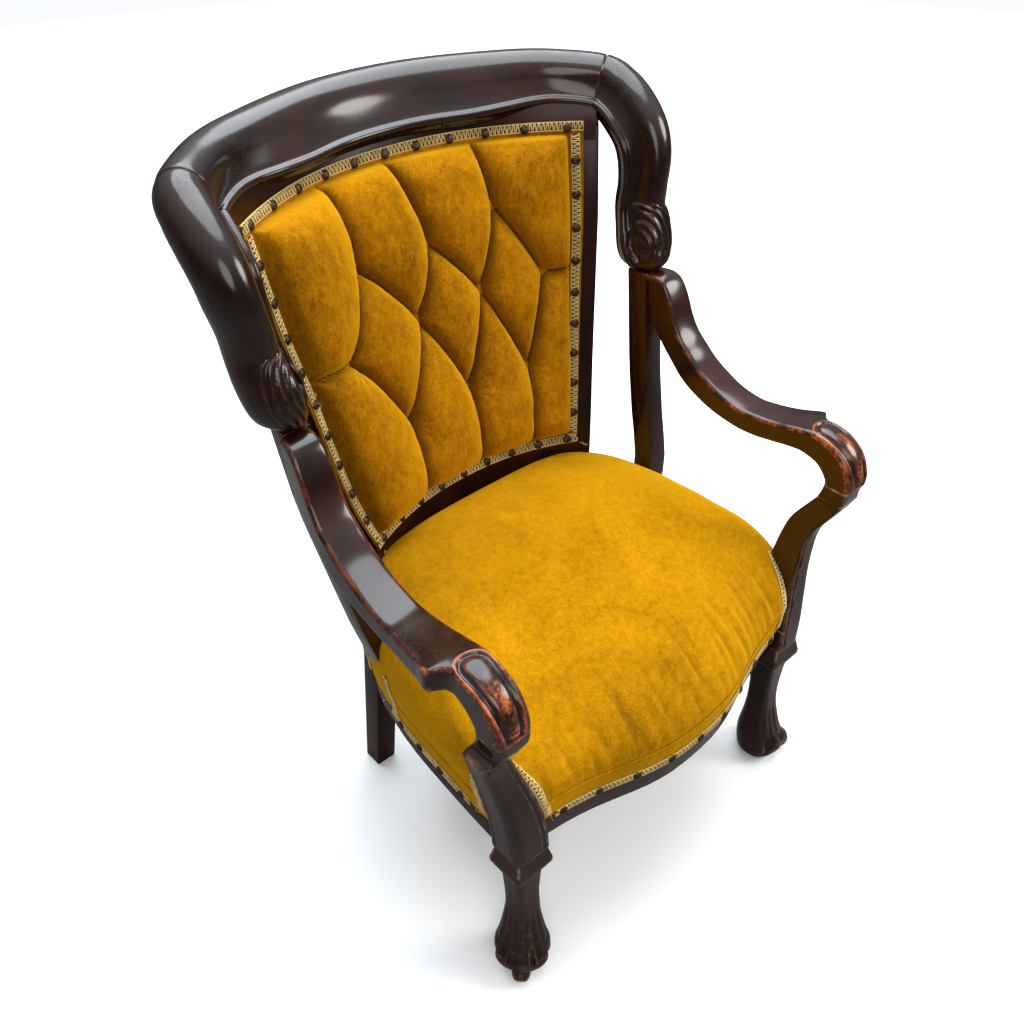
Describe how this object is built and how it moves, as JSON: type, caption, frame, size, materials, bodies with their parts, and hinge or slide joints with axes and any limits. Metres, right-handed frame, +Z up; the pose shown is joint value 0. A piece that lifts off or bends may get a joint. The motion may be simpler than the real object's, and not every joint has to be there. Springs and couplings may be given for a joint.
{
  "type": "upholstered armchair",
  "caption": "Armchair with a horseshoe crest rail, scrolled open arms, deep buttoned velvet back, domed velvet seat and carved paw feet.",
  "frame": {"origin": "on the floor, at the middle of the bounding box seen from above", "axes": "+Z up, the sitter faces -Y, +X is on the left hand of a sitter and on the right of someone facing the chair"},
  "size_m": [0.6908, 0.6767, 0.9837],
  "materials": {
    "polished_mahogany": "french polished, gloss",
    "plain_beech": "unfinished",
    "steel": "dull",
    "bronzed_nail": "antiqued, hammered",
    "gimp_braid": "woven scroll braid",
    "jute_webbing": "coarse weave",
    "hessian": "open weave",
    "horsehair": "curled fibre",
    "black_cambric": "thin weave",
    "gold_velvet": "mohair pile"
  },
  "bodies": {
    "root": {"crest_rail": "polished_mahogany", "crest_ear_left": "polished_mahogany", "crest_ear_right": "polished_mahogany", "rear_leg_left": "polished_mahogany", "rear_leg_right": "polished_mahogany", "back_top_rail": "polished_mahogany", "back_bottom_rail": "polished_mahogany", "back_post_left": "polished_mahogany", "back_post_right": "polished_mahogany", "arm_left": "polished_mahogany", "arm_right": "polished_mahogany", "front_leg_left": "polished_mahogany", "front_leg_right": "polished_mahogany", "front_rail": "polished_mahogany", "side_rail_left": "polished_mahogany", "side_rail_right": "polished_mahogany", "rear_rail": "plain_beech", "corner_block_front_left": "plain_beech", "corner_block_front_right": "plain_beech", "corner_block_rear_left": "plain_beech", "corner_block_rear_right": "plain_beech", "block_screws": "steel", "arm_dowels": "plain_beech", "scroll_dowels": "plain_beech", "webbing_lengthways": "jute_webbing", "webbing_crossways": "jute_webbing", "seat_springs": "steel", "seat_hessian": "hessian", "seat_stuffing": "horsehair", "seat_cover": "gold_velvet", "seat_border_front": "gold_velvet", "seat_border_left": "gold_velvet", "seat_border_right": "gold_velvet", "dust_cover": "black_cambric", "back_webbing": "jute_webbing", "back_hessian": "hessian", "back_stuffing": "horsehair", "back_cover": "gold_velvet", "back_buttons": "gold_velvet", "outside_back_cover": "gold_velvet", "gimp_back_top": "gimp_braid", "gimp_back_bottom": "gimp_braid", "gimp_back_left": "gimp_braid", "gimp_back_right": "gimp_braid", "gimp_seat_front": "gimp_braid", "gimp_seat_left": "gimp_braid", "gimp_seat_right": "gimp_braid", "gimp_front_post_left": "gimp_braid", "gimp_front_post_right": "gimp_braid", "gimp_back_post_left": "gimp_braid", "gimp_back_post_right": "gimp_braid", "back_nails": "bronzed_nail", "seat_nails": "bronzed_nail"}
  },
  "joints": []
}
